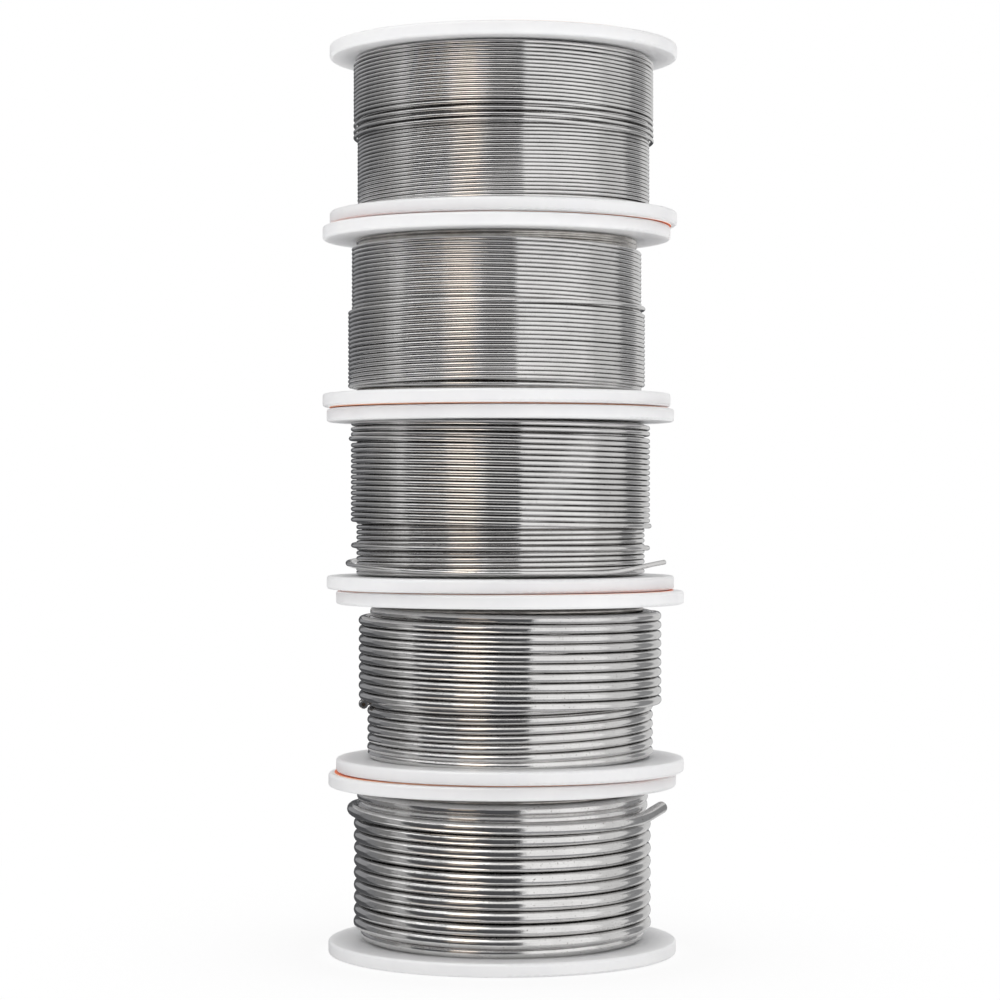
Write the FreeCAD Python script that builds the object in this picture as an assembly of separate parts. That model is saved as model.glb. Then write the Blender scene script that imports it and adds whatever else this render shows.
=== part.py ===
"""A stack of five spools of solder wire, from fine wire at the top to thick wire at the bottom.

Each spool is a moulded reel in two halves, wound with wire and labelled on both faces.
Sizes are in millimetres. +Z is up, and the origin lies on the table under the middle of the stack.
"""
import FreeCAD, Part
import math
import os
from collections import namedtuple

Vector = FreeCAD.Vector

# The moulded reel
flange_radius = 29.0
flange_thickness = 2.2
flange_edge_radius = 0.45
reel_height = 30.0
drum_radius = 20.5
drum_wall = 1.6
bore_radius = 8.0
bore_wall = 1.5
tongue_length = 3.0
tongue_clearance = 0.05

# The paper labels and the room between two spools
label_radius = 27.7
label_hole_radius = 9.0
label_thickness = 0.12
stack_gap = 0.05

# The wire
most_turns = 24
least_turn_gap = 0.46
loose_gap = 0.55
measuring_step = 2.0
wire_facets = 8
winding_clearance = 0.05
loose_end_length = 14.0
loose_turns = 1.0
loose_bulge = 1.1

# What differs from spool to spool:
# wire: the wire's diameter.
# bands: from the bottom, the share of the width at which each band of turns ends, and its depth on the drum.
# hand: +1 where the turns climb counterclockwise, seen from above, and -1 where they climb the other way.
# ends: the angles about the axis at which the outer layer starts, at the bottom, and ends, at the top.
# loose: which end of the wire stands loose, and how far it rises.
# bare_top: how much of the width the outer layer leaves bare at the top, and the inner layers' depth there.
# shift and label_shift: how far the spool stands, and its labels are stuck, from the middle.
Spool = namedtuple("Spool", "name wire bands hand ends loose bare_top shift label_shift")

spools = [
    Spool("spool1", 0.6, [(0.47, 3.90), (1.00, 4.55)], -1, (60.0, 110.0), (None, 0.0), (0.0, 0.0),
          (0.025, 0.3), (0.3, -0.2)),
    Spool("spool2", 0.7, [(0.09, 3.67), (0.61, 4.27), (1.00, 3.67)], -1, (130.0, 75.0), (None, 0.0), (0.0, 0.0),
          (-1.125, -0.4), (-0.2, 0.3)),
    Spool("spool3", 0.8, [(0.36, 3.60), (1.00, 4.50)], -1, (-49.0, 110.0), ("bottom", 1.4), (0.0, 0.0),
          (-0.475, 0.4), (0.4, 0.1)),
    Spool("spool4", 1.5, [(0.36, 3.33), (0.92, 4.76), (1.00, 3.33)], -1, (200.0, 170.0), (None, 0.0), (0.0, 0.0),
          (1.125, -0.2), (-0.4, -0.2)),
    Spool("spool5", 2.0, [(0.08, 3.61), (1.00, 4.30)], 1, (131.0, -49.0), ("top", 0.0), (2.5, 3.80),
          (-0.175, 0.1), (-0.3, 0.2)),
]

# Sizes that follow from the ones above
half_height = reel_height / 2
drum_inner_radius = drum_radius - drum_wall
bore_outer_radius = bore_radius + bore_wall
tongue_radius = drum_inner_radius + drum_wall / 2
stack_pitch = reel_height + 2 * label_thickness + stack_gap
winding_bottom = flange_thickness + winding_clearance
winding_top = reel_height - flange_thickness - winding_clearance


def turned(outline):
    """Turn a closed outline of (radius, height) corners about the spool's axis."""
    corners = [Vector(radius, 0, height) for radius, height in outline]
    face = Part.Face(Part.makePolygon(corners + corners[:1]))
    return face.revolve(Vector(0, 0, 0), Vector(0, 0, 1), 360)


def rim_rounded(shape, *heights):
    """Round the flange's two outer edges, which lie at these heights."""
    radius = min(flange_edge_radius, 0.45 * flange_thickness)
    rims = []
    for edge in shape.Edges:
        is_circle = isinstance(edge.Curve, Part.Circle)
        if not is_circle or abs(edge.Curve.Radius - flange_radius) > 1e-6:
            continue
        if min(abs(edge.Curve.Center.z - height) for height in heights) < 1e-6:
            rims.append(edge)
    return shape.makeFillet(radius, rims)


def lower_reel_half():
    """The lower flange with half of the drum and half of the bore tube, and a tongue on the drum's end."""
    outline = [
        (bore_radius, 0),
        (flange_radius, 0),
        (flange_radius, flange_thickness),
        (drum_radius, flange_thickness),
        (drum_radius, half_height),
        (tongue_radius, half_height),
        (tongue_radius, half_height + tongue_length),
        (drum_inner_radius, half_height + tongue_length),
        (drum_inner_radius, flange_thickness),
        (bore_outer_radius, flange_thickness),
        (bore_outer_radius, half_height),
        (bore_radius, half_height),
    ]
    return rim_rounded(turned(outline), 0, flange_thickness)


def upper_reel_half():
    """The upper flange with the other halves, and a rebate in the drum that takes the tongue."""
    rebate_radius = tongue_radius + tongue_clearance
    rebate_top = half_height + tongue_length + tongue_clearance
    flange_underside = reel_height - flange_thickness
    outline = [
        (bore_radius, half_height),
        (bore_outer_radius, half_height),
        (bore_outer_radius, flange_underside),
        (drum_inner_radius, flange_underside),
        (drum_inner_radius, rebate_top),
        (rebate_radius, rebate_top),
        (rebate_radius, half_height),
        (drum_radius, half_height),
        (drum_radius, flange_underside),
        (flange_radius, flange_underside),
        (flange_radius, reel_height),
        (bore_radius, reel_height),
    ]
    return rim_rounded(turned(outline), flange_underside, reel_height)


def label(height, shift):
    """A paper ring with its underside at this height, stuck on a little off the centre."""
    place = Vector(shift[0], shift[1], height)
    disc = Part.makeCylinder(label_radius, label_thickness, place)
    hole = Part.makeCylinder(label_hole_radius, label_thickness, place)
    return disc.cut(hole)


class Winding:
    """The centre line of a spool's outer layer, as a radius and a height for each number of turns."""

    def __init__(self, spool):
        self.spool = spool
        self.loose_end, self.loose_rise = spool.loose
        self.start = winding_bottom + spool.wire / 2
        self.end = winding_top - spool.wire / 2 - spool.bare_top[0]
        room = self.end - self.start
        part_turn = spool.hand * (spool.ends[1] - spool.ends[0]) / 360 % 1
        whole_turns = int(room / (spool.wire + least_turn_gap) - part_turn)
        self.turns = min(most_turns - 2, whole_turns) + part_turn
        self.pitch = room / self.turns
        self.first = -loose_turns if self.loose_end == "bottom" else 0.0
        self.first_angle = spool.ends[0]

    def band_radius(self, depth):
        """The centre line's radius in a band of this depth on the drum."""
        return drum_radius + depth - self.spool.wire / 2

    def steps(self):
        """Where the radius changes: the turn at the step's middle, and the radius below and above."""
        bands = self.spool.bands
        return [(share * self.turns, self.band_radius(depth), self.band_radius(above))
                for (share, depth), (_, above) in zip(bands, bands[1:])]

    def loose_turn(self, turn):
        """How far the loose last turn stands out from the tight turns, and up."""
        if self.loose_end == "top":
            along = max(0.0, turn - self.turns + loose_turns)
            return loose_bulge * math.sin(math.pi * along / loose_turns) ** 2, 0.0
        if self.loose_end == "bottom":
            along = max(0.0, -turn)
            lying = self.spool.wire + loose_gap
            bulging = min(1.0, max(0.0, along * 2 - 0.5))
            out = lying * smooth(along * 4) + loose_bulge * math.sin(math.pi * bulging) ** 2
            return out, lying * smooth(along * 3 - 0.6)
        return 0.0, 0.0

    def place(self, turn):
        """The point of the centre line at this number of turns from the lower end."""
        radius = self.band_radius(self.spool.bands[0][1])
        for middle, below, above in self.steps():
            radius += (above - below) * smooth((turn - middle) * 2 + 0.5)
        out, up = self.loose_turn(turn)
        radius += out
        height = self.start + self.pitch * max(turn, 0.0) + up
        angle = math.radians(self.first_angle + self.spool.hand * 360 * (turn - self.first))
        return Vector(radius * math.cos(angle), radius * math.sin(angle), height)

    def direction(self, turn):
        """The centre line's direction at this number of turns."""
        step = 0.001
        return (self.place(turn + step) - self.place(turn - step)).normalize()

    def nodes(self):
        """Numbers of turns at which the arcs meet: half a turn apart, or a quarter where the radius changes."""
        found = [self.first]
        while found[-1] < self.turns - 1e-6:
            here = found[-1]
            reach = [self.place(min(here + part, self.turns)) for part in (0.0, 0.25, 0.5)]
            radii = [math.hypot(point.x, point.y) for point in reach]
            steady = here >= 0 and max(radii) - min(radii) < 1e-6
            found.append(min(here + (0.5 if steady else 0.25), self.turns))
        return found


def smooth(share):
    """A smooth rise from 0 at a share of 0 to 1 at a share of 1."""
    share = min(1.0, max(0.0, share))
    return share * share * (3 - 2 * share)


def arc(start, middle_control, end):
    """The arc from start to end whose end tangents cross at the control point, and its radius."""
    chord = end - start
    half_turn = (middle_control - start).getAngle(chord)
    centre_of_chord = (start + end) / 2
    towards = (middle_control - centre_of_chord).normalize()
    sagitta = chord.Length / 2 * math.tan(half_turn / 2)
    radius = chord.Length / 2 / math.sin(half_turn)
    return Part.Arc(start, centre_of_chord + towards * sagitta, end).toShape(), radius


def biarc(start, leaving, end, arriving):
    """Two arcs that join start to end and keep the directions there, and their radii."""
    chord = end - start
    both = leaving + arriving
    spread = 2 * (1 - leaving.dot(arriving))
    along = chord.dot(both)
    reach = (math.sqrt(along * along + spread * chord.dot(chord)) - along) / spread
    first_control = start + leaving * reach
    second_control = end - arriving * reach
    meeting = (first_control + second_control) / 2
    return arc(start, first_control, meeting), arc(meeting, second_control, end)


def straight(start, direction, length):
    """A straight run from a point."""
    return Part.LineSegment(start, start + direction * length).toShape()


def faceted_section(middle, direction, radius):
    """The wire's section at one end, square to it: an even polygon with its corners on the wire's circle."""
    across = direction.cross(Vector(0, 0, 1)).normalize() * radius
    upwards = across.cross(direction).normalize() * radius
    corners = []
    for facet in range(wire_facets):
        angle = 2 * math.pi * (facet + 0.5) / wire_facets
        corners.append(middle + across * math.cos(angle) + upwards * math.sin(angle))
    return Part.makePolygon(corners + corners[:1])


def least_gap(edges, wire):
    """The least gap between two stretches of the wire that are more than a third of a turn apart."""
    points = []
    travelled = 0.0
    for edge in edges:
        count = max(2, int(edge.Length / measuring_step))
        for point in edge.discretize(count + 1)[:-1]:
            points.append((travelled, point))
            travelled += edge.Length / count
    turn = 2 * math.pi * drum_radius
    least = travelled
    for index, (here, point) in enumerate(points):
        for (there, near), (_, far) in zip(points[index + 1:], points[index + 2:]):
            if there - here > 1.7 * turn:
                break
            if there - here > turn / 3:
                run = far - near
                share = min(1.0, max(0.0, (point - near).dot(run) / run.dot(run)))
                least = min(least, point.distanceToPoint(near + run * share))
    return least - wire


def outer_wire_layer(spool):
    """The wire that shows: one unbroken tube that winds over the inner layers, with straight ends."""
    winding = Winding(spool)
    nodes = winding.nodes()
    start_run = loose_end_length if winding.loose_end == "bottom" else spool.wire
    end_run = loose_end_length if winding.loose_end == "top" else spool.wire
    rise = Vector(0, 0, winding.loose_rise / loose_end_length)
    begin = winding.direction(nodes[0]) * -1
    finish = winding.direction(nodes[-1])
    if winding.loose_end == "bottom":
        begin = (begin + rise).normalize()
    if winding.loose_end == "top":
        finish = (finish + rise).normalize()

    places = [winding.place(turn) for turn in nodes]
    directions = [begin * -1] + [winding.direction(turn) for turn in nodes[1:-1]] + [finish]
    tip = places[0] + begin * start_run
    edges = [straight(tip, directions[0], start_run)]
    radii = []
    for index in range(len(nodes) - 1):
        for edge, radius in biarc(places[index], directions[index], places[index + 1], directions[index + 1]):
            edges.append(edge)
            radii.append(radius)
    edges.append(straight(places[-1], finish, end_run))

    path = Part.Wire(edges)
    section = faceted_section(tip, directions[0], spool.wire / 2)
    tube = path.makePipeShell([section], True, False)
    area = Part.Face(section).Area
    print(spool.name, "wire", spool.wire, "turns", round(winding.turns - winding.first, 2), "pitch", round(winding.pitch, 3),
          "least gap", round(least_gap(edges, spool.wire), 3), "least radius", round(min(radii), 2),
          "volume ratio", round(tube.Volume / (area * path.Length), 5), "faces", len(tube.Faces))
    return tube


def inner_wire_layers(spool):
    """The wire under the layer that shows: a ring on the drum, stepped where the outer layer steps."""
    winding = Winding(spool)
    under = spool.wire / 2 + winding_clearance
    outline = [(drum_radius + winding_clearance, winding_bottom)]
    radius = winding.band_radius(spool.bands[0][1]) - under
    outline.append((radius, winding_bottom))
    for middle, below, above in winding.steps():
        clear = winding.pitch / 4 + under
        height = winding.start + winding.pitch * middle + math.copysign(clear, above - below)
        outline.append((below - under, height))
        outline.append((above - under, height))
        radius = above - under
    bare_height, bare_depth = spool.bare_top
    if bare_height:
        height = winding.end + under
        outline.append((radius, height))
        radius = drum_radius + bare_depth
        outline.append((radius, height))
    outline.append((radius, winding_top))
    outline.append((drum_radius + winding_clearance, winding_top))
    return turned(outline)


def save(name, shape, spool, underside):
    """Write one piece at its spool's place in the stack."""
    shape.translate(Vector(spool.shift[0], spool.shift[1], underside))
    if not shape.isValid() or len(shape.Solids) != 1:
        raise ValueError(name + " isn't one valid solid")
    shape.exportStep("parts/" + name + ".step")


def main():
    os.makedirs("parts", exist_ok=True)
    for above_table, spool in enumerate(reversed(spools)):
        underside = above_table * stack_pitch + label_thickness
        save(spool.name + "_bottom_label", label(-label_thickness, spool.label_shift), spool, underside)
        save(spool.name + "_lower_reel_half", lower_reel_half(), spool, underside)
        save(spool.name + "_inner_wire_layers", inner_wire_layers(spool), spool, underside)
        save(spool.name + "_outer_wire_layer", outer_wire_layer(spool), spool, underside)
        save(spool.name + "_upper_reel_half", upper_reel_half(), spool, underside)
        save(spool.name + "_top_label", label(reel_height, spool.label_shift), spool, underside)


main()
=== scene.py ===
"""Dress a stack of five solder wire spools on the frame that the CAD model gives.

The reels and their labels keep the CAD's shapes and get their materials here. The wire that
shows is wound anew at its real pitch, over a ring of inner turns that replaces the CAD's inner
wire. Lengths in the tables are in millimetres, and heights are above the underside of the spool
that they belong to.
"""
import math
from collections import namedtuple

import bmesh
import bpy
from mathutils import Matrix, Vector, noise


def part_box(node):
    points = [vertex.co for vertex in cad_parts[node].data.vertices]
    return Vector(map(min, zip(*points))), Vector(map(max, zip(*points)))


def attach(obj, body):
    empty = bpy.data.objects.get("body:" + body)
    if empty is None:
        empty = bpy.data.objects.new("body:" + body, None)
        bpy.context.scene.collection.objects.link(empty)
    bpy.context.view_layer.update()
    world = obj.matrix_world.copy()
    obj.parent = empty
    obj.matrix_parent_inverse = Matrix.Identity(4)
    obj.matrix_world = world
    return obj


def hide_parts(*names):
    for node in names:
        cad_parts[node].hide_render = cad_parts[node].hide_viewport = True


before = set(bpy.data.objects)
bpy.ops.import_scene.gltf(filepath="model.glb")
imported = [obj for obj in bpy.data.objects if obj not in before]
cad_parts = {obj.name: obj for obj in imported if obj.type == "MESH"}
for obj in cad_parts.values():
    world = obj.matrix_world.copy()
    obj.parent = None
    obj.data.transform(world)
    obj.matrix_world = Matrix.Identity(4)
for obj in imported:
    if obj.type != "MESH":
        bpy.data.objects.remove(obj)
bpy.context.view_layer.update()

bl_info = {
    "name": "Solder wire spools",
    "version": (1, 0, 0),
    "blender": (4, 5, 0),
    "location": "View3D > Sidebar > Solder spools",
    "description": "Winds five reels with solder wire and sets them in a small photo studio",
    "category": "Object",
}

MM = 0.001
SPOOL_NUMBERS = (1, 2, 3, 4, 5)
RIGHT, BACK, LEFT = 0.0, 90.0, 180.0

# A strand is one length of wire, wound clockwise or not as seen from above. It starts at an
# angle round its spool, and its height is told from where it passes the back. Each run is so
# many turns with one pitch and outer radius, after a step up at the back. Its turns lean down to
# the right by the lean, and dip by the dip in front. Level moves part of the climb from the
# front to the back, or to the front when it is below zero. An end is sunk into the layer below,
# cut off at the surface, or a tail that runs on straight. A bulge is where one turn lies further
# out, in, up or down than its layer. It is found by its angle and height, and its spread is how
# many turns it takes to fade on either side.
Strand = namedtuple("Strand", "hand base start level runs low_end high_end bulges")
Run = namedtuple("Run", "turns pitch radius step lean dip", defaults=(0.0, 0.0, 0.0))
Bulge = namedtuple("Bulge", "angle height spread out up")
Tail = namedtuple("Tail", "length rise")
Spool = namedtuple("Spool", "wire strands")
CLOCKWISE, COUNTER = -1, 1
SUNK, CUT = "sunk", "cut"

# The winder goes up and down, so a layer slopes the other way than the one below it. Spool 5
# shows one layer, with a loose turn on it.
SPOOLS = {
    1: Spool(0.6, [
        Strand(COUNTER, 2.53, BACK, -0.3,
               [Run(1, 0.43, 24.40), Run(39, 0.627, 24.40, 0.0, -0.18, -0.08)], SUNK, SUNK, []),
        Strand(CLOCKWISE, 13.96, BACK, 0.0,
               [Run(1, 0.92, 25.05, 0.0, 0.1, -0.42), Run(1, 0.85, 25.05, 0.0, 0.1, -0.42),
                Run(1, 1.05, 25.08, 0.0, 0.1, -0.42), Run(1, 0.95, 25.05, 0.0, 0.15, -0.42),
                Run(13, 0.631, 25.05, 0.0, 0.17, -0.42), Run(1.8, 0.631, 25.05, 0.12, 0.1, -0.3)],
               SUNK, SUNK,
               [Bulge(LEFT, 14.6, 0.24, 0.05, -0.10), Bulge(LEFT, 15.5, 0.24, 0.04, -0.10),
                Bulge(RIGHT, 14.3, 0.24, 0.06, -0.10), Bulge(RIGHT, 15.2, 0.24, 0.04, -0.05)]),
    ]),
    2: Spool(0.7, [
        Strand(CLOCKWISE, 2.57, BACK, -0.3,
               [Run(1, 0.97, 24.17), Run(33, 0.697, 24.17, -0.4, 0.21, -0.48)], SUNK, SUNK, []),
        Strand(COUNTER, 3.25, BACK, -0.3,
               [Run(9, 0.706, 24.77, 0.0, 0.12, -0.5), Run(9, 0.706, 24.77, 0.06, 0.12, -0.5)], SUNK, SUNK,
               [Bulge(RIGHT, 15.8, 0.3, 0.06, 0.55)]),
    ]),
    3: Spool(0.8, [
        Strand(COUNTER, 2.62, BACK, 0.3,
               [Run(1, 0.46, 24.09), Run(28, 0.87, 24.09)], SUNK, SUNK, []),
        Strand(CLOCKWISE, 1.6, 311.0, 0.8,
               [Run(1, 3.0, 24.92), Run(1, 2.03, 24.98, 1.41), Run(17, 0.885, 25.0, 2.53, 0.45),
                Run(1.9, 0.95, 25.0, 0.12, 0.3)], Tail(14.0, 1.6), SUNK,
               [Bulge(150.0, 3.6, 0.34, 1.15, 0.95), Bulge(LEFT, 24.7, 0.30, 0.35, 0.20),
                Bulge(RIGHT, 10.6, 0.20, 0.25, 0.0)]),
    ]),
    4: Spool(1.5, [
        Strand(COUNTER, 2.60, BACK, 0.44,
               [Run(1, 1.2, 23.83, 0.0, 0.0, 0.65), Run(14.9, 1.51, 23.83, -0.1, -0.15, 0.65)],
               SUNK, SUNK, []),
        Strand(CLOCKWISE, 9.97, 187.0, 0.44,
               [Run(10.8, 1.55, 25.26, 0.0, 0.12, 0.2)], CUT, SUNK, [Bulge(LEFT, 26.6, 0.4, -1.3, 0.1)]),
    ]),
    5: Spool(2.0, [
        Strand(COUNTER, 3.30, BACK, 1.3,
               [Run(1, 0.30, 23.72, 0.0, 0.0, 0.45), Run(9, 2.05, 24.80, 0.50, 0.13, 0.45),
                Run(1, 2.0, 24.20, 1.10, 0.1, 0.45), Run(1, 1.1, 24.30, 0.0, 0.1, 0.45)], SUNK, SUNK, []),
        Strand(COUNTER, 23.1, BACK, 0.0, [Run(0.68, 0.8, 25.75, 0.0, 0.5, 0.45)], SUNK, Tail(9.2, 1.2),
               [Bulge(LEFT, 23.7, 0.2, 0.2, 0.15)]),
    ]),
}

# The panels of the light tent, which only the shine of things sees: where each hangs, round
# from the camera to the right and up from level, in degrees, and how bright it is. Each hangs
# a little in front of the ones before it, so the dark cloth shows only where no other covers it.
# The photo doesn't show the studio: places and levels were chosen until the wire's bright and
# dark bands came out as in the photo.
Panel = namedtuple("Panel", "around up colour level")
TENT_PANELS = {
    "tent_dark_cloth": Panel((-180.0, 180.0), (-90.0, 90.0), "#F7F9FF", 0.10),
    "tent_roof": Panel((-93.0, 15.5), (14.0, 90.0), "#FFFFFF", 0.65),
    "tent_roof_left": Panel((-93.0, -50.0), (22.0, 60.0), "#FFFFFF", 1.90),
    "tent_roof_middle": Panel((-50.0, -12.0), (27.0, 62.0), "#FFFFFF", 1.85),
    "tent_roof_warm": Panel((-42.0, -20.0), (22.0, 64.0), "#FFF4E8", 2.35),
    "tent_roof_right": Panel((-12.0, 15.5), (27.0, 62.0), "#FFFFFF", 1.15),
    "tent_roof_side": Panel((-112.0, -93.0), (22.0, 60.0), "#FFFFFF", 0.90),
    "tent_warm_strip": Panel((-42.0, -21.0), (-9.0, 14.0), "#FFEDDB", 0.44),
    "tent_grey_strip": Panel((-93.0, -77.0), (-44.0, 22.0), "#FFFFFF", 0.46),
    "tent_grey_side": Panel((-112.0, -93.0), (-34.0, 22.0), "#FFFFFF", 0.25),
    "tent_table": Panel((-95.0, -20.0), (-90.0, -58.0), "#FFF5EA", 2.80),
    "tent_table_edge": Panel((-95.0, -20.0), (-58.0, -44.0), "#FFF5EA", 1.00),
    "tent_table_right": Panel((-20.0, 15.5), (-90.0, -58.0), "#FFFFFF", 0.85),
    "tent_table_side": Panel((-112.0, -95.0), (-90.0, -34.0), "#FFFFFF", 1.10),
    "tent_table_left": Panel((-128.0, -112.0), (-90.0, -30.0), "#FFFFFF", 0.50),
    "tent_back_left": Panel((-128.0, -112.0), (-30.0, 20.0), "#FAFBFF", 0.24),
    "tent_back_left_wall": Panel((-160.0, -128.0), (-6.0, 20.0), "#FAFBFF", 0.34),
    "tent_back_left_roof": Panel((-168.0, -112.0), (20.0, 90.0), "#FFFFFF", 0.48),
    "tent_back_left_edge": Panel((-180.0, -168.0), (8.0, 90.0), "#FFFFFF", 0.60),
    "tent_softbox": Panel((15.5, 80.0), (-40.0, 90.0), "#FFFFFF", 1.10),
    "tent_softbox_side": Panel((80.0, 112.0), (-40.0, 90.0), "#FFFFFF", 0.80),
    "tent_softbox_foot": Panel((15.5, 112.0), (-90.0, -40.0), "#FAFBFF", 0.44),
    "tent_side_gap": Panel((112.0, 138.0), (-60.0, 24.0), "#FCFDFF", 0.32),
    "tent_side_gap_roof": Panel((112.0, 138.0), (24.0, 90.0), "#FFFFFF", 0.75),
    "tent_back_right": Panel((138.0, 168.0), (-40.0, 90.0), "#FFFFFF", 0.72),
    "tent_back_right_edge": Panel((168.0, 180.0), (8.0, 90.0), "#FFFFFF", 0.60),
}
TENT_RADIUS, TENT_STEP = 900.0, 3.0
PANEL_ROWS, PANEL_COLUMN_DEGREES = 12, 5

# The lamps' places and sizes are in metres, and share is each one's part of the lamp power.
Lamp = namedtuple("Lamp", "place size share")
LAMPS = {
    "lamp_front": Lamp((0.35, -0.9, 0.75), 0.9, 1.0),
    "lamp_top": Lamp((-0.2, 0.1, 1.2), 0.8, 0.6),
}
LAMPS_AIM = (0, 0, 0.07)

# The floor keeps some of its shadow out to the first distance in metres from the stack's middle,
# and none beyond the second. Near the stack it is so much of its full white, and of its glow.
SHADOW_ENDS = (0.03, 0.16)
NEAR_WHITE, NEAR_GLOW = 0.7, 0.65


def linear(colour):
    """Turn an sRGB hex colour into the linear values that Blender's sockets take."""
    channels = [int(colour[place:place + 2], 16) / 255 for place in (1, 3, 5)]
    return [c / 12.92 if c <= 0.04045 else ((c + 0.055) / 1.055) ** 2.4 for c in channels]


def add_node(tree, kind, inputs=None, **settings):
    """Add a node, set its options, and fill each named input with a value or a link."""
    node = tree.nodes.new(kind)
    for setting, value in settings.items():
        setattr(node, setting, value)
    for socket, value in (inputs or {}).items():
        if isinstance(value, bpy.types.NodeSocket):
            tree.links.new(value, node.inputs[socket])
        else:
            node.inputs[socket].default_value = value
    return node


def new_material(name):
    """Make a material whose node tree holds nothing yet."""
    material = bpy.data.materials.new(name)
    material.use_nodes = True
    material.node_tree.nodes.clear()
    return material, material.node_tree


def mixed_colours(tree, factor, first, second, way="MIX"):
    """Blend two colours, each a link or three values, by a factor and return the blend."""
    first, second = (colour if isinstance(colour, bpy.types.NodeSocket) else [*colour, 1.0]
                     for colour in (first, second))
    blend = add_node(tree, "ShaderNodeMix", data_type="RGBA", blend_type=way,
                     inputs={0: factor, 6: first, 7: second})
    return blend.outputs[2]


def noise_in(tree, place, size, detail=4.0, roughness=0.6):
    """Return a noise whose grains are of a given size in metres."""
    return add_node(tree, "ShaderNodeTexNoise",
                    {"Vector": place, "Scale": 1 / size, "Detail": detail,
                     "Roughness": roughness}).outputs["Fac"]


def spread(tree, value, low, high, out_low=0.0, out_high=1.0):
    """Stretch the part of a value between low and high over another range."""
    return add_node(tree, "ShaderNodeMapRange",
                    inputs={0: value, 1: low, 2: high, 3: out_low, 4: out_high}).outputs[0]


def faces_up_or_down(tree):
    """Return 1 where a surface faces straight up or down, and 0 where it stands upright."""
    normal = add_node(tree, "ShaderNodeTexCoord").outputs["Normal"]
    upward = add_node(tree, "ShaderNodeSeparateXYZ", {0: normal}).outputs["Z"]
    return add_node(tree, "ShaderNodeMath", {0: upward}, operation="ABSOLUTE").outputs[0]


def add_object(name, mesh, material=None, body=None):
    """Put a mesh in the scene as an object at the origin, with its material and its body."""
    thing = bpy.data.objects.new(name, mesh)
    bpy.context.scene.collection.objects.link(thing)
    if material:
        mesh.materials.append(material)
    if body:
        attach(thing, body)
    return thing


def spool_place(number):
    """Return where a spool's axis meets the underside of its reel."""
    low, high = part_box(f"spool{number}_lower_reel_half")
    return Vector(((low.x + high.x) / 2, (low.y + high.y) / 2, low.z))


class WireSettings(bpy.types.PropertyGroup):
    """The look of the solder wire and how finely it is wound."""
    colour: bpy.props.FloatVectorProperty(
        name="Solder", description="Colour of the bright tin-lead wire",
        subtype="COLOR", size=3, min=0.0, max=1.0, default=linear("#E2E1E0"))
    core_colour: bpy.props.FloatVectorProperty(
        name="Flux", description="Colour of the flux core that a cut end shows",
        subtype="COLOR", size=3, min=0.0, max=1.0, default=linear("#3A2A18"))
    roughness: bpy.props.FloatProperty(
        name="Roughness", description="How far the drawn surface blurs what it mirrors",
        min=0.0, max=1.0, default=0.11)
    steps: bpy.props.IntProperty(
        name="Steps", description="Lengths that one turn of wire is made of", min=24, default=96)


class ReelSettings(bpy.types.PropertyGroup):
    """The look of the moulded reels and their paper labels."""
    plastic: bpy.props.FloatVectorProperty(
        name="Plastic", description="Colour of the moulded reel",
        subtype="COLOR", size=3, min=0.0, max=1.0, default=linear("#EBEBEE"))
    roughness: bpy.props.FloatProperty(
        name="Roughness", description="How matt the moulded surface is", min=0.0, max=1.0, default=0.34)
    milkiness: bpy.props.FloatProperty(
        name="Milkiness", description="How far light goes in the plastic", subtype="DISTANCE",
        unit="LENGTH", min=0.0, default=7 * MM)


class StudioSettings(bpy.types.PropertyGroup):
    """The camera, the floor and the lamps."""
    eye: bpy.props.FloatVectorProperty(
        name="Camera place", description="Where the camera stands",
        subtype="TRANSLATION", unit="LENGTH", size=3, default=(-0.543 * MM, -507 * MM, 75.5 * MM))
    lens: bpy.props.FloatProperty(
        name="Lens", description="Focal length of the camera", subtype="DISTANCE_CAMERA",
        unit="CAMERA", default=109.2)
    floor_radius: bpy.props.FloatProperty(
        name="Floor", description="Radius of the round floor", subtype="DISTANCE",
        unit="LENGTH", default=3.0)
    lamp_power: bpy.props.FloatProperty(
        name="Lamp", description="Power of the large soft lamp in front", subtype="POWER",
        unit="POWER", default=0.8)
    sky_level: bpy.props.FloatProperty(
        name="Sky", description="How bright the light from all round is", min=0.0, default=1.0)
    table_glow: bpy.props.FloatProperty(
        name="Table", description="How bright the table's light from below is", min=0.0, default=1.4)


class PlaceCamera(bpy.types.Operator):
    """Set up the camera at the height of the middle spool, level and straight ahead"""
    bl_idname = "solder.place_camera"
    bl_label = "Place the camera"

    def execute(self, context):
        settings = context.scene.solder_studio
        data = bpy.data.cameras.new("camera")
        data.lens = settings.lens
        camera = bpy.data.objects.new("camera", data)
        camera.location = settings.eye
        camera.rotation_euler = (math.radians(90), 0, 0)
        context.scene.collection.objects.link(camera)
        context.scene.camera = camera
        return {"FINISHED"}


def tent_panel_mesh(name, panel, centre, radius):
    """Spin a point up into an arc and the arc round into a panel that faces the middle."""
    first, last = (math.radians(angle) for angle in panel.around)
    low, high = (math.radians(angle) for angle in panel.up)
    towards = Vector((math.sin(first), -math.cos(first), 0.0))
    up = Vector((0, 0, 1))
    start = centre + radius * (math.cos(low) * towards + math.sin(low) * up)
    mesh = bpy.data.meshes.new(name)
    bm = bmesh.new()
    bmesh.ops.spin(bm, geom=[bm.verts.new(start)], cent=centre, axis=towards.cross(up),
                   angle=high - low, steps=PANEL_ROWS)
    bmesh.ops.spin(bm, geom=bm.verts[:] + bm.edges[:], cent=centre, axis=up, angle=last - first,
                   steps=max(2, round(math.degrees(last - first) / PANEL_COLUMN_DEGREES)))
    bmesh.ops.remove_doubles(bm, verts=bm.verts, dist=1e-6)
    bm.to_mesh(mesh)
    bm.free()
    return mesh


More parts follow.
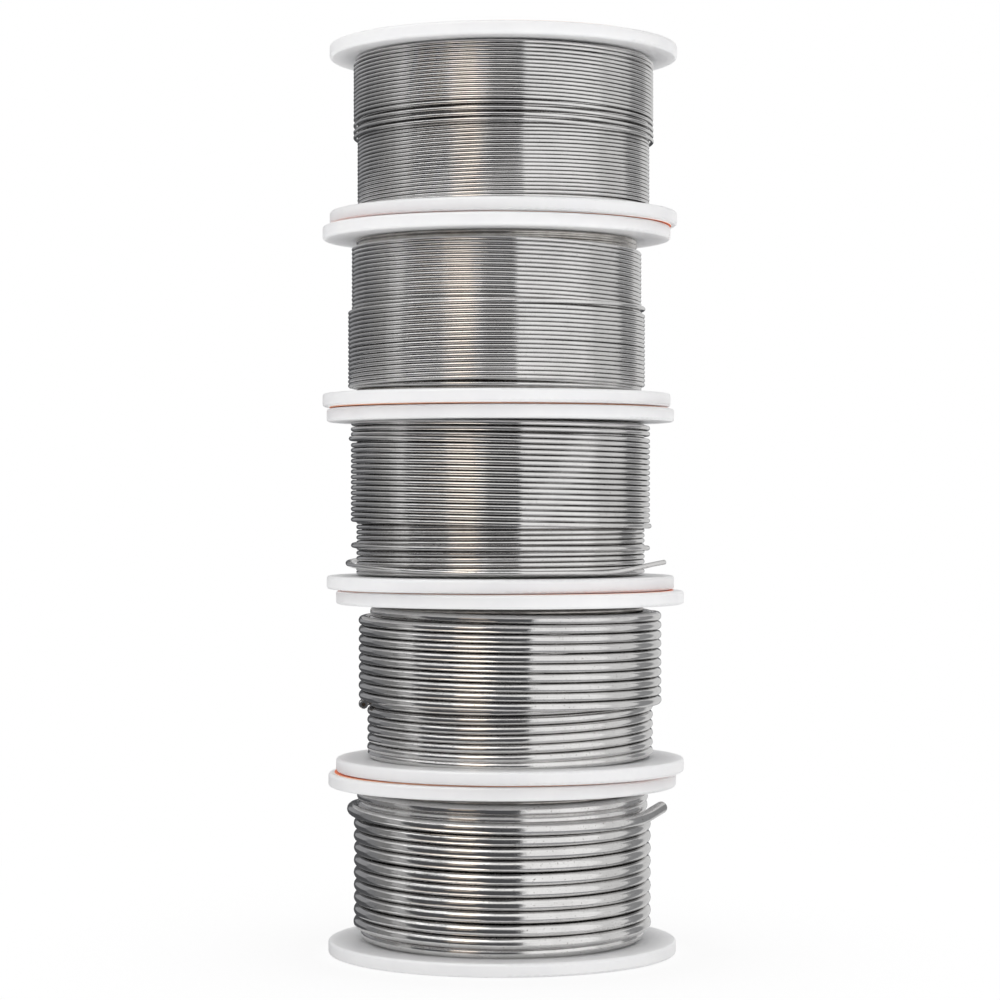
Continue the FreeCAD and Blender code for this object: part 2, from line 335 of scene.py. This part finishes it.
def seen_by_shine_only(thing):
    """Let only glossy rays see an object, so that it neither shows nor lights anything else."""
    thing.visible_camera = False
    thing.visible_diffuse = False
    thing.visible_transmission = False
    thing.visible_volume_scatter = False
    thing.visible_shadow = False


def white_ray(tree):
    """Tell whether a ray comes from the camera, a shine or something clear."""
    path = add_node(tree, "ShaderNodeLightPath")
    either = add_node(tree, "ShaderNodeMath", operation="MAXIMUM",
                      inputs={0: path.outputs["Is Camera Ray"], 1: path.outputs["Is Glossy Ray"]})
    return add_node(tree, "ShaderNodeMath", operation="MAXIMUM",
                    inputs={0: either.outputs[0], 1: path.outputs["Is Transmission Ray"]}).outputs[0]


class BuildStudio(bpy.types.Operator):
    """Lay a white floor under a white sky, hang the tent's panels and light the lamps"""
    bl_idname = "solder.build_studio"
    bl_label = "Build the studio"

    def execute(self, context):
        settings = context.scene.solder_studio
        self.white_sky(context.scene, settings)
        self.white_floor(settings)
        self.tent(settings)
        self.lamps(context.scene, settings)
        context.scene.view_settings.view_transform = "Standard"
        return {"FINISHED"}

    def white_sky(self, scene, settings):
        world = bpy.data.worlds.new("white_sky")
        world.use_nodes = True
        tree = world.node_tree
        tree.nodes.clear()
        light = add_node(tree, "ShaderNodeBackground",
                         {"Color": (1, 1, 1, 1), "Strength": settings.sky_level})
        seen = add_node(tree, "ShaderNodeBackground", {"Color": (1, 1, 1, 1), "Strength": 1.0})
        sky = add_node(tree, "ShaderNodeMixShader",
                       {0: white_ray(tree), 1: light.outputs[0], 2: seen.outputs[0]})
        add_node(tree, "ShaderNodeOutputWorld", {"Surface": sky.outputs[0]})
        scene.world = world

    def white_floor(self, settings):
        material, tree = new_material("white_paper_floor")
        paper = add_node(tree, "ShaderNodeBsdfDiffuse", {"Color": [*linear("#FFFFFF"), 1]})
        white = add_node(tree, "ShaderNodeEmission", {"Color": (1, 1, 1, 1), "Strength": 1.0})
        place = add_node(tree, "ShaderNodeTexCoord").outputs["Object"]
        away = add_node(tree, "ShaderNodeVectorMath", {0: place}, operation="LENGTH")
        # The paper keeps part of the spools' shadow near them and is plain white further out.
        lit = spread(tree, away.outputs["Value"], *SHADOW_ENDS, NEAR_WHITE, 1.0)
        # It also lights the spools from below, more evenly than paper would, because the lowest
        # rim and the flanges' undersides are that light in the photo.
        glow_level = spread(tree, lit, NEAR_WHITE, 1.0,
                            NEAR_GLOW * settings.table_glow, settings.table_glow)
        glow = add_node(tree, "ShaderNodeEmission", {"Color": (1, 1, 1, 1), "Strength": glow_level})
        path = add_node(tree, "ShaderNodeLightPath")
        table = add_node(tree, "ShaderNodeMixShader",
                         {0: path.outputs["Is Diffuse Ray"], 1: paper.outputs[0], 2: glow.outputs[0]})
        share = add_node(tree, "ShaderNodeMath", {0: white_ray(tree), 1: lit}, operation="MULTIPLY")
        floor = add_node(tree, "ShaderNodeMixShader",
                         {0: share.outputs[0], 1: table.outputs[0], 2: white.outputs[0]})
        add_node(tree, "ShaderNodeOutputMaterial", {"Surface": floor.outputs[0]})
        mesh = bpy.data.meshes.new("floor")
        bm = bmesh.new()
        bmesh.ops.create_circle(bm, cap_ends=True, segments=96, radius=settings.floor_radius)
        bm.to_mesh(mesh)
        bm.free()
        floor = add_object("floor", mesh, material)
        # The tent's lower panels stand in for what the wire mirrors of the table.
        floor.visible_glossy = False

    def tent(self, settings):
        centre = Vector((0, 0, settings.eye[2]))
        for place, (name, panel) in enumerate(TENT_PANELS.items()):
            material, tree = new_material(name)
            glow = add_node(tree, "ShaderNodeEmission",
                            {"Color": [*linear(panel.colour), 1], "Strength": panel.level})
            add_node(tree, "ShaderNodeOutputMaterial", {"Surface": glow.outputs[0]})
            mesh = tent_panel_mesh(name, panel, centre, (TENT_RADIUS - TENT_STEP * place) * MM)
            thing = add_object(name, mesh, material)
            seen_by_shine_only(thing)

    def lamps(self, scene, settings):
        for name, lamp in LAMPS.items():
            data = bpy.data.lights.new(name, "AREA")
            data.shape = "DISK"
            data.size = lamp.size
            data.energy = settings.lamp_power * lamp.share
            thing = bpy.data.objects.new(name, data)
            thing.location = lamp.place
            towards = Vector(LAMPS_AIM) - thing.location
            thing.rotation_euler = towards.to_track_quat("-Z", "Y").to_euler()
            thing.visible_glossy = False
            scene.collection.objects.link(thing)


def plastic_material(settings):
    """Moulded polystyrene, milky white: light enters its thin flanges and softens their edges."""
    material, tree = new_material("moulded_polystyrene")
    place = add_node(tree, "ShaderNodeTexCoord").outputs["Object"]
    # The white drifts slightly over a few millimetres, so that it doesn't look painted. Neither
    # this nor the grain below was measured in the photo.
    drift = spread(tree, noise_in(tree, place, 9 * MM, detail=3.0), 0.3, 0.7)
    colour = mixed_colours(tree, drift, settings.plastic, linear("#F3F3F4"))
    # A fine grain of about half a millimetre breaks the gloss as a matt mould's does.
    grain = noise_in(tree, place, 0.5 * MM, roughness=0.65)
    gloss = spread(tree, grain, 0.25, 0.75, settings.roughness - 0.06, settings.roughness + 0.08)
    bump = add_node(tree, "ShaderNodeBump", {"Height": grain, "Strength": 0.12, "Distance": 0.02 * MM})
    plastic = add_node(tree, "ShaderNodeBsdfPrincipled",
                       {"Base Color": colour, "Roughness": gloss, "IOR": 1.57,
                        "Subsurface Weight": 0.8, "Subsurface Scale": settings.milkiness,
                        "Subsurface Radius": (1.0, 1.0, 1.0), "Normal": bump.outputs[0]})
    add_node(tree, "ShaderNodeOutputMaterial", {"Surface": plastic.outputs[0]})
    return material


class FinishReels(bpy.types.Operator):
    """Give the moulded halves of all five reels their plastic"""
    bl_idname = "solder.finish_reels"
    bl_label = "Finish the reels"

    def execute(self, context):
        plastic = plastic_material(context.scene.solder_reels)
        for number in SPOOL_NUMBERS:
            for half in ("lower", "upper"):
                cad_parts[f"spool{number}_{half}_reel_half"].material_slots[0].material = plastic
        return {"FINISHED"}


# The labels face the other spools, so their print is a guess: one pale ring near each edge.
PRINTED_RINGS, RING_HALF_WIDTH = (25.6, 11.4), 0.25
# The line that the cut edges draw between the flanges is fainter in the photo below these spools.
FAINT_LINE_BELOW = (1, 3)
FAINT_EDGE, ORANGE_EDGE = "#F8EAE2", "#F6BC9A"


def label_material(number, side):
    """Printed paper: orange ink over a fine paper grain, with the pale rings left unprinted."""
    material, tree = new_material(f"printed_paper_{number}_{side}")
    axis = spool_place(number)
    place = add_node(tree, "ShaderNodeTexCoord").outputs["Object"]
    centred = add_node(tree, "ShaderNodeMapping", {"Vector": place, "Location": -axis})
    flat = add_node(tree, "ShaderNodeVectorMath", operation="MULTIPLY",
                    inputs={0: centred.outputs[0], 1: (1, 1, 0)})
    radius = add_node(tree, "ShaderNodeVectorMath", operation="LENGTH", inputs={0: flat.outputs[0]})
    grain = noise_in(tree, place, 0.4 * MM, detail=5.0, roughness=0.7)
    ink = mixed_colours(tree, spread(tree, grain, 0.3, 0.7), linear("#E8632A"), linear("#FA8746"))
    lines = []
    for middle in PRINTED_RINGS:
        away = add_node(tree, "ShaderNodeMath", operation="SUBTRACT",
                        inputs={0: radius.outputs["Value"], 1: middle * MM})
        near = add_node(tree, "ShaderNodeMath", operation="ABSOLUTE", inputs={0: away.outputs[0]})
        lines.append(add_node(tree, "ShaderNodeMath", operation="LESS_THAN",
                              inputs={0: near.outputs[0], 1: RING_HALF_WIDTH * MM}).outputs[0])
    either = add_node(tree, "ShaderNodeMath", operation="MAXIMUM", inputs={0: lines[0], 1: lines[1]})
    printed = mixed_colours(tree, either.outputs[0], ink, linear("#F3EDE6"))
    # The cut edge is paler than the ink.
    upper_spool = number if side == "bottom" else number - 1
    edge = FAINT_EDGE if upper_spool in FAINT_LINE_BELOW else ORANGE_EDGE
    cut = spread(tree, faces_up_or_down(tree), 0.3, 0.7, 1.0, 0.0)
    printed = mixed_colours(tree, cut, printed, linear(edge))
    bump = add_node(tree, "ShaderNodeBump", {"Height": grain, "Strength": 0.25, "Distance": 0.03 * MM})
    paper = add_node(tree, "ShaderNodeBsdfPrincipled",
                     {"Base Color": printed, "Roughness": 0.55, "IOR": 1.45, "Normal": bump.outputs[0]})
    add_node(tree, "ShaderNodeOutputMaterial", {"Surface": paper.outputs[0]})
    return material


class FinishLabels(bpy.types.Operator):
    """Give the paper labels of all five spools their orange print"""
    bl_idname = "solder.finish_labels"
    bl_label = "Finish the labels"

    def execute(self, context):
        for number in SPOOL_NUMBERS:
            for side in ("bottom", "top"):
                paper = label_material(number, side)
                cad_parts[f"spool{number}_{side}_label"].material_slots[0].material = paper
        return {"FINISHED"}


STREAK_LENGTH, STREAK_WIDTH = 12 * MM, 0.09 * MM


def solder_material(settings, number):
    """Drawn tin-lead solder, which mirrors its surroundings and has fine streaks from the die."""
    material, tree = new_material(f"drawn_solder_{number}")
    wire = SPOOLS[number].wire * MM
    # The map holds metres along the wire and metres round it. The die's streaks are long and narrow.
    uv = add_node(tree, "ShaderNodeUVMap", uv_map="wire")
    along = add_node(tree, "ShaderNodeMapping",
                     {"Vector": uv.outputs[0], "Scale": (1 / STREAK_LENGTH, 1 / STREAK_WIDTH, 1.0)})
    streaks = noise_in(tree, along.outputs[0], 1.0, detail=3.0)
    # Dull patches of a few millimetres and small dark specks, as handling leaves them. Their
    # places are random, and not the photo's.
    place = add_node(tree, "ShaderNodeTexCoord").outputs["Object"]
    dull = spread(tree, noise_in(tree, place, 6 * MM), 0.35, 0.75)
    specks = spread(tree, noise_in(tree, place, 0.3 * MM, detail=2.0), 0.64, 0.72, 0.0, wire / (2 * MM))
    rough = spread(tree, dull, 0.0, 1.0, settings.roughness - 0.02, settings.roughness + 0.05)
    tint = mixed_colours(tree, dull, settings.colour, linear("#D3D2D1"))
    marks = spread(tree, streaks, 0.35, 0.8, 0.0, 0.3)
    tint = mixed_colours(tree, marks, tint, linear("#B6B6B6"), way="MULTIPLY")
    tint = mixed_colours(tree, specks, tint, linear("#8A847E"))
    # The photo's gaps between turns are darker than bare metal gives. The wire is painted darker where it
    # faces the turns above and below it, a painted shade for the grooves, and finer wire more.
    painted_groove_shade = spread(tree, faces_up_or_down(tree), 0.7, 1.0, 0.0, 0.55 - 0.2 * wire / MM)
    # Painted shade: a dark tint where the wire faces up or down into the grooves.
    tint = mixed_colours(tree, painted_groove_shade, tint, linear("#4A4642"))
    # Small dents of under a millimetre make the bright lines waver.
    dents = noise_in(tree, place, 0.8 * MM, detail=2.0, roughness=0.5)
    height = add_node(tree, "ShaderNodeMath", operation="ADD", inputs={0: streaks, 1: dents})
    bump = add_node(tree, "ShaderNodeBump",
                    {"Height": height.outputs[0], "Strength": 0.25, "Distance": 0.012 * wire})
    metal = add_node(tree, "ShaderNodeBsdfPrincipled",
                     {"Base Color": tint, "Metallic": 1.0, "Roughness": rough,
                      "Normal": bump.outputs[0]})
    add_node(tree, "ShaderNodeOutputMaterial", {"Surface": metal.outputs[0]})
    return material


def flux_material(settings):
    """Rosin flux, the dark amber resin that fills the middle of the wire."""
    material, tree = new_material("rosin_flux")
    flux = add_node(tree, "ShaderNodeBsdfPrincipled",
                    {"Base Color": [*settings.core_colour, 1], "Roughness": 0.35, "IOR": 1.53})
    add_node(tree, "ShaderNodeOutputMaterial", {"Surface": flux.outputs[0]})
    return material


# The ring of inner turns lies this far under the outer ones and is this thick, in millimetres.
# Its turns stand a little further apart than the wire is thick, and each is drawn in so many parts.
INNER_GAP, INNER_THICKNESS = 0.04, 1.5
INNER_PITCH, INNER_TURN_PARTS, INNER_SPIN_STEPS = 1.03, 4, 64


def inner_wire_mesh(number):
    """Spin a row of half-round turns into the ring of wire that lies under the outer layers."""
    spool = SPOOLS[number]
    axis = spool_place(number)
    low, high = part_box(f"spool{number}_inner_wire_layers")
    lowest_radius = min(run.radius for strand in spool.strands for run in strand.runs)
    outer = (lowest_radius - spool.wire - INNER_GAP) * MM
    inner = outer - INNER_THICKNESS * MM
    turns = round((high.z - low.z) / (spool.wire * INNER_PITCH * MM))
    pitch = (high.z - low.z) / turns
    mesh = bpy.data.meshes.new(f"spool{number}_inner_turns")
    bm = bmesh.new()
    profile = [(inner, low.z)]
    for turn in range(turns):
        for part in range(INNER_TURN_PARTS + 1):
            share = part / INNER_TURN_PARTS
            bulge = math.sqrt(max(0.0, 1 - (2 * share - 1) ** 2))
            if turn == 0 or part > 0:
                profile.append((outer - (1 - bulge) * pitch / 2, low.z + (turn + share) * pitch))
    profile.append((inner, high.z))
    points = [bm.verts.new((axis.x + radius, axis.y, height)) for radius, height in profile]
    edges = [bm.edges.new(pair) for pair in zip(points, points[1:] + points[:1])]
    bmesh.ops.spin(bm, geom=points + edges, cent=(axis.x, axis.y, 0), axis=(0, 0, 1),
                   angle=math.tau, steps=INNER_SPIN_STEPS, use_merge=True)
    bmesh.ops.recalc_face_normals(bm, faces=bm.faces)
    for face in bm.faces:
        face.smooth = True
    bm.to_mesh(mesh)
    bm.free()
    return mesh


def inner_wire_material(settings):
    """The same solder under the outer turns, a little duller, with a painted shade that darkens it
    unevenly.
    """
    material, tree = new_material("inner_solder")
    place = add_node(tree, "ShaderNodeTexCoord").outputs["Object"]
    # Painted shade: the inner turns are tinted darker than the outer wire, patchily at random, to stand
    # for the shade in the gaps where they show.
    patchy_painted_shade = spread(tree, noise_in(tree, place, 2 * MM), 0.3, 0.7)
    tint = mixed_colours(tree, patchy_painted_shade, linear("#C9C6C2"), linear("#A8A49F"))
    metal = add_node(tree, "ShaderNodeBsdfPrincipled",
                     {"Base Color": tint, "Metallic": 1.0, "Roughness": settings.roughness + 0.12})
    add_node(tree, "ShaderNodeOutputMaterial", {"Surface": metal.outputs[0]})
    return material


class BuildInnerWire(bpy.types.Operator):
    """Build each spool's ring of inner turns, which shows in the gaps of the outer ones"""
    bl_idname = "solder.build_inner_wire"
    bl_label = "Build the inner wire"

    def execute(self, context):
        metal = inner_wire_material(context.scene.solder_wire)
        for number in SPOOL_NUMBERS:
            mesh = inner_wire_mesh(number)
            ring = add_object(f"spool{number}_inner_turns", mesh, metal, f"spool{number}")
            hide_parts(f"spool{number}_inner_wire_layers")
        return {"FINISHED"}


# In turns of wire: how long a run takes to come in with its radius, lean and dip, how long its
# step up takes, and how long an end takes to sink.
CHANGE_TURNS, STEP_TURNS, SINK_TURNS = 0.24, 0.3, 0.12
# No wire lies quite even, so it wavers up and out by these shares of its thickness.
WAVER_UP, WAVER_OUT = 0.05, 0.04
TAIL_PIECES = 12
# Wire thinner than this, in millimetres, gets fewer sides, because they show less on it.
THIN_WIRE, THIN_SIDES, THICK_SIDES = 1.0, 12, 18


def ease(share):
    """Go from 0 to 1 with a soft start and a soft end, and stay at either outside."""
    share = min(1.0, max(0.0, share))
    return share * share * (3 - 2 * share)


def passes_back(strand):
    """Return how far past the back a strand starts, in turns."""
    return (strand.start - BACK) * strand.hand / 360 % 1.0


def level_share(turn, level):
    """Return how much of its turns' climb a wire has done when level moves part to the back."""
    return turn + level * math.sin(math.tau * turn) / math.tau


def wire_place(strand, turn):
    """Return the angle, height and outer radius of a strand so many turns past the back."""
    height, first = strand.base, 0.0
    radius, lean, dip = strand.runs[0].radius, strand.runs[0].lean, strand.runs[0].dip
    for run in strand.runs:
        begun = ease((turn - first) / CHANGE_TURNS + 0.5)
        height += run.step * ease((turn - first) / STEP_TURNS + 0.5)
        radius += (run.radius - radius) * begun
        lean += (run.lean - lean) * begun
        dip += (run.dip - dip) * begun
        part = min(max(turn - first, 0.0), run.turns)
        height += run.pitch * (level_share(part, strand.level) if part < run.turns else run.turns)
        first += run.turns
    angle = math.radians(BACK + strand.hand * 360 * turn)
    height -= lean * math.cos(angle) + dip * max(0.0, -math.sin(angle)) ** 2
    return angle, height, radius


def wire_line(number, strand, steps):
    """Return the points that a strand's middle follows round its reel, from the bottom up."""
    wire = SPOOLS[number].wire
    axis = spool_place(number)
    first = passes_back(strand)
    last = sum(run.turns for run in strand.runs)
    bulges = []
    for bulge in strand.bulges:
        share = (bulge.angle - BACK) * strand.hand / 360 % 1.0
        passes = [share + whole for whole in range(int(last) + 1)]
        place = min(passes, key=lambda turn: abs(wire_place(strand, turn)[1] - bulge.height))
        bulges.append((place, bulge))
    points = []
    count = round((last - first) * steps)
    for step in range(count + 1):
        turn = first + step / steps
        angle, height, radius = wire_place(strand, turn)
        radius -= wire / 2
        for place, bulge in bulges:
            share = 0.5 + 0.5 * math.cos(math.pi * min(1.0, abs(turn - place) / bulge.spread))
            radius += bulge.out * share
            height += bulge.up * share
        if strand.low_end == SUNK:
            radius -= wire * ease(1 - (turn - first) / SINK_TURNS)
        if strand.high_end == SUNK:
            radius -= wire * ease(1 - (last - turn) / SINK_TURNS)
        # The noise is read at another place for each spool, and the height's for each start too.
        height += noise.noise(Vector((turn * 1.3, number * 7.0, strand.start))) * WAVER_UP * wire
        radius += noise.noise(Vector((turn * 2.1, number * 3.0, 5.0))) * WAVER_OUT * wire
        offset = Vector((radius * math.cos(angle), radius * math.sin(angle), height))
        points.append(axis + MM * offset)
    if isinstance(strand.low_end, Tail):
        points = with_tail(points[::-1], strand.low_end)
    if isinstance(strand.high_end, Tail):
        points = with_tail(points, strand.high_end)
    return points


def with_tail(points, tail):
    """Run the wire straight on past its end, rising a little on its way."""
    onward = points[-1] - points[-2]
    onward.z = 0.0
    onward.normalize()
    last = points[-1].copy()
    for piece in range(1, TAIL_PIECES + 1):
        share = piece / TAIL_PIECES
        rise = Vector((0, 0, tail.rise * MM * share * share * (2 - share)))
        points.append(last + onward * tail.length * MM * share + rise)
    return points


def swept_wire(line, wire, sides):
    """Sweep a round wire along a line of points and give back the open tube's mesh."""
    curve = bpy.data.curves.new("wire_line", "CURVE")
    curve.dimensions = "3D"
    curve.twist_mode = "Z_UP"
    curve.bevel_depth = wire / 2
    # A round bevel has four sides, and two more for each step of its resolution.
    curve.bevel_resolution = sides // 2 - 2
    spline = curve.splines.new("POLY")
    spline.points.add(len(line) - 1)
    for point, place in zip(spline.points, line):
        point.co = (*place, 1.0)
    holder = bpy.data.objects.new("wire_line", curve)
    mesh = bpy.data.meshes.new_from_object(holder)
    bpy.data.objects.remove(holder)
    bpy.data.curves.remove(curve)
    return mesh


# Shares of the wire's thickness: the cut's rounded edge and how far it stands out, the metal
# round the core, and how far the core lies back.
CUT_EDGE, CUT_OUT, CUT_WALL, CORE_STEP, CORE_BACK = 0.06, 0.05, 0.22, 0.01, 0.08


def cut_ends(bm, wire):
    """Close a wire's open ends as cutters would, with a core of flux, which the photo doesn't show."""
    rims = [edge for edge in bm.edges if edge.is_boundary]
    for edge in rims:
        edge.smooth = False
    for cap in bmesh.ops.holes_fill(bm, edges=rims, sides=0)["faces"]:
        bmesh.ops.inset_region(bm, faces=[cap], thickness=CUT_EDGE * wire, depth=CUT_OUT * wire)
        bmesh.ops.inset_region(bm, faces=[cap], thickness=CUT_WALL * wire)
        bmesh.ops.inset_region(bm, faces=[cap], thickness=CORE_STEP * wire, depth=-CORE_BACK * wire)
        cap.material_index = 1


def wound_wire(number, steps):
    """Wind all strands of one spool and map them in metres along and round the wire."""
    spool = SPOOLS[number]
    wire = spool.wire * MM
    sides = THIN_SIDES if spool.wire < THIN_WIRE else THICK_SIDES
    mesh = bpy.data.meshes.new(f"spool{number}_wound_wire")
    whole = bmesh.new()
    for strand in spool.strands:
        line = wire_line(number, strand, steps)
        length = sum((b - a).length for a, b in zip(line, line[1:]))
        tube = swept_wire(line, wire, sides)
        bm = bmesh.new()
        bm.from_mesh(tube)
        bmesh.ops.remove_doubles(bm, verts=bm.verts, dist=1e-7)
        for face in bm.faces:
            face.smooth = True
        uv = bm.loops.layers.uv.verify()
        for face in bm.faces:
            for loop in face.loops:
                loop[uv].uv = (loop[uv].uv.x * length, loop[uv].uv.y * math.pi * wire)
        cut_ends(bm, wire)
        bm.to_mesh(tube)
        bm.free()
        whole.from_mesh(tube)
        bpy.data.meshes.remove(tube)
    bmesh.ops.recalc_face_normals(whole, faces=whole.faces)
    whole.to_mesh(mesh)
    whole.free()
    mesh.uv_layers[0].name = "wire"
    return mesh


class WindWire(bpy.types.Operator):
    """Wind every spool's outer turns at their real pitch, with their loose turns and ends"""
    bl_idname = "solder.wind_wire"
    bl_label = "Wind the wire"

    def execute(self, context):
        settings = context.scene.solder_wire
        flux = flux_material(settings)
        for number in SPOOL_NUMBERS:
            mesh = wound_wire(number, settings.steps)
            mesh.materials.append(solder_material(settings, number))
            mesh.materials.append(flux)
            winding = add_object(f"spool{number}_wound_wire", mesh, body=f"spool{number}")
            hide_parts(f"spool{number}_outer_wire_layer")
        return {"FINISHED"}


class SolderSpoolPanel(bpy.types.Panel):
    """List the steps that dress the spools, and the sizes and colours they use"""
    bl_idname = "VIEW3D_PT_solder_spools"
    bl_label = "Solder wire spools"
    bl_space_type = "VIEW_3D"
    bl_region_type = "UI"
    bl_category = "Solder spools"

    def draw(self, context):
        scene = context.scene
        for settings in (scene.solder_studio, scene.solder_reels, scene.solder_wire):
            for name in settings.__annotations__:
                self.layout.prop(settings, name)
        for step in STEPS:
            self.layout.operator(step.bl_idname)


STEPS = (PlaceCamera, BuildStudio, FinishReels, FinishLabels, BuildInnerWire, WindWire)
SETTINGS = {"solder_wire": WireSettings, "solder_reels": ReelSettings, "solder_studio": StudioSettings}


def register():
    for group in SETTINGS.values():
        bpy.utils.register_class(group)
    for name, group in SETTINGS.items():
        setattr(bpy.types.Scene, name, bpy.props.PointerProperty(type=group))
    for step in STEPS:
        bpy.utils.register_class(step)
    bpy.utils.register_class(SolderSpoolPanel)


def unregister():
    bpy.utils.unregister_class(SolderSpoolPanel)
    for step in reversed(STEPS):
        bpy.utils.unregister_class(step)
    for name in SETTINGS:
        delattr(bpy.types.Scene, name)
    for group in reversed(SETTINGS.values()):
        bpy.utils.unregister_class(group)


def main():
    register()
    bpy.ops.solder.place_camera()
    bpy.ops.solder.build_studio()
    bpy.ops.solder.finish_reels()
    bpy.ops.solder.finish_labels()
    bpy.ops.solder.build_inner_wire()
    bpy.ops.solder.wind_wire()


if __name__ == "__main__":
    main()
